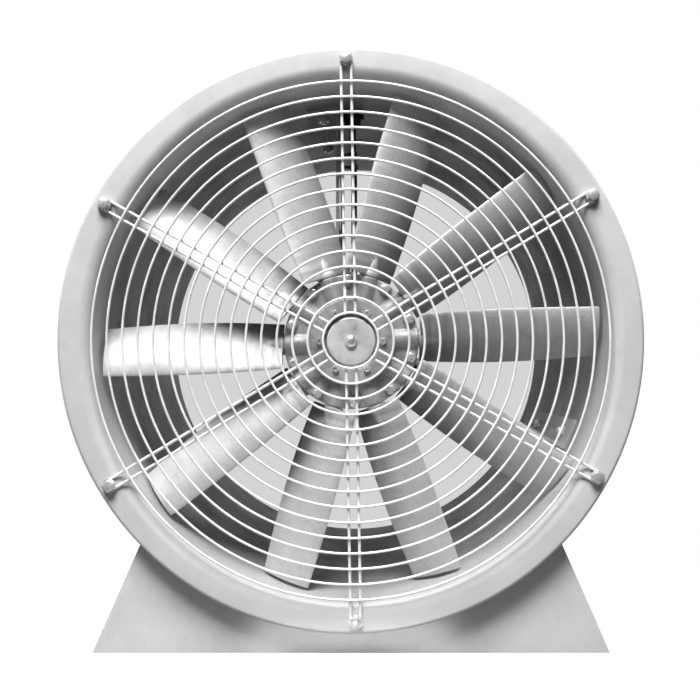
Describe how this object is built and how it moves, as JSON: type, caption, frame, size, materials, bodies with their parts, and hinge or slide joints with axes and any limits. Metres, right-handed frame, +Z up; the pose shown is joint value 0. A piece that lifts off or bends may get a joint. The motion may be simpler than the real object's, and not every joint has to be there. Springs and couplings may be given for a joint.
{
  "type": "axial fan",
  "caption": "Cased axial-flow fan: round duct casing on folded feet, bell-mouth inlet with a ring wire guard, clamped aerofoil blades on a split hub, motor in the air stream.",
  "frame": {"origin": "on the floor, in the middle of the four base bolts", "axes": "+Z up, +X right seen from the inlet, +Y the way the air goes: the inlet and its guard face -Y"},
  "size_m": [0.7199, 0.5103, 0.7655],
  "materials": {
    "casing_paint": "satin light grey paint",
    "casting": "as cast, scratched",
    "blade_metal": "satin, lightly brushed along the chord",
    "guard_zinc": "bright zinc plate",
    "bolt_zinc": "bright zinc plate",
    "arm_paint": "satin grey paint",
    "motor_paint": "satin grey paint",
    "shaft_steel": "ground",
    "core_steel": "laminated, oiled",
    "copper_windings": "varnished",
    "bearing_steel": "polished",
    "black_rubber": "matt",
    "black_plastic": "matt",
    "stud_brass": "bright"
  },
  "bodies": {
    "casing": {"casing_shell": "casing_paint", "inlet_ring": "casing_paint", "outlet_flange": "casing_paint", "front_foot": "casing_paint", "rear_foot": "casing_paint", "terminal_box_saddle": "casing_paint", "terminal_box_base": "casing_paint", "terminal_box_lid": "casing_paint", "guard_rings": "guard_zinc", "guard_spokes": "guard_zinc", "guard_bolts": "bolt_zinc", "guard_washers": "bolt_zinc", "guard_nuts": "bolt_zinc", "arm_wall_bolts": "bolt_zinc", "arm_wall_nuts": "bolt_zinc", "motor_mount_bolts": "bolt_zinc", "motor_mount_nuts": "bolt_zinc", "motor_tie_bolts": "bolt_zinc", "terminal_lid_screws": "bolt_zinc", "support_arm_top": "arm_paint", "support_arm_left": "arm_paint", "support_arm_right": "arm_paint", "motor_frame": "motor_paint", "motor_front_shield": "motor_paint", "motor_rear_shield": "motor_paint", "stator_core": "core_steel", "stator_windings": "copper_windings", "bearing_outer_rings": "bearing_steel", "bearing_balls": "bearing_steel", "terminal_box_gasket": "black_rubber", "motor_cable": "black_rubber", "motor_gland": "black_plastic", "casing_gland": "black_plastic", "cable_clips": "black_plastic", "terminal_block": "black_plastic", "supply_gland": "black_plastic", "terminal_studs": "stud_brass"},
    "impeller": {"motor_shaft": "shaft_steel", "shaft_key": "shaft_steel", "rotor_core": "core_steel", "bearing_inner_rings": "bearing_steel", "shaft_seal": "black_rubber", "hub_front_half": "casting", "hub_rear_half": "casting", "hub_bush": "shaft_steel", "bush_screws": "bolt_zinc", "hub_clamp_bolts": "bolt_zinc", "hub_clamp_nuts": "bolt_zinc", "shaft_end_cap": "shaft_steel", "shaft_end_bolt": "bolt_zinc"},
    "blade_01": {"blade_01": "blade_metal"},
    "blade_02": {"blade_02": "blade_metal"},
    "blade_03": {"blade_03": "blade_metal"},
    "blade_04": {"blade_04": "blade_metal"},
    "blade_05": {"blade_05": "blade_metal"},
    "blade_06": {"blade_06": "blade_metal"},
    "blade_07": {"blade_07": "blade_metal"},
    "blade_08": {"blade_08": "blade_metal"},
    "blade_09": {"blade_09": "blade_metal"},
    "blade_10": {"blade_10": "blade_metal"}
  },
  "joints": [
    {"name": "impeller_spin", "type": "hinge", "parent": "casing", "child": "impeller", "pos_m": [0, -0.204, 0.385], "axis": [0, 1, 0], "continuous": true},
    {"name": "blade_01_pitch", "type": "hinge", "parent": "impeller", "child": "blade_01", "pos_m": [0, -0.204, 0.385], "axis": [0.9986, 0, 0.0523], "range_deg": [-10, 10]},
    {"name": "blade_02_pitch", "type": "hinge", "parent": "impeller", "child": "blade_02", "pos_m": [0, -0.204, 0.385], "axis": [0.7771, 0, 0.6293], "range_deg": [-10, 10]},
    {"name": "blade_03_pitch", "type": "hinge", "parent": "impeller", "child": "blade_03", "pos_m": [0, -0.204, 0.385], "axis": [0.2588, 0, 0.9659], "range_deg": [-10, 10]},
    {"name": "blade_04_pitch", "type": "hinge", "parent": "impeller", "child": "blade_04", "pos_m": [0, -0.204, 0.385], "axis": [-0.3584, 0, 0.9336], "range_deg": [-10, 10]},
    {"name": "blade_05_pitch", "type": "hinge", "parent": "impeller", "child": "blade_05", "pos_m": [0, -0.204, 0.385], "axis": [-0.8387, 0, 0.5446], "range_deg": [-10, 10]},
    {"name": "blade_06_pitch", "type": "hinge", "parent": "impeller", "child": "blade_06", "pos_m": [0, -0.204, 0.385], "axis": [-0.9986, 0, -0.0523], "range_deg": [-10, 10]},
    {"name": "blade_07_pitch", "type": "hinge", "parent": "impeller", "child": "blade_07", "pos_m": [0, -0.204, 0.385], "axis": [-0.7771, 0, -0.6293], "range_deg": [-10, 10]},
    {"name": "blade_08_pitch", "type": "hinge", "parent": "impeller", "child": "blade_08", "pos_m": [0, -0.204, 0.385], "axis": [-0.2588, 0, -0.9659], "range_deg": [-10, 10]},
    {"name": "blade_09_pitch", "type": "hinge", "parent": "impeller", "child": "blade_09", "pos_m": [0, -0.204, 0.385], "axis": [0.3584, 0, -0.9336], "range_deg": [-10, 10]},
    {"name": "blade_10_pitch", "type": "hinge", "parent": "impeller", "child": "blade_10", "pos_m": [0, -0.204, 0.385], "axis": [0.8387, 0, -0.5446], "range_deg": [-10, 10]}
  ]
}
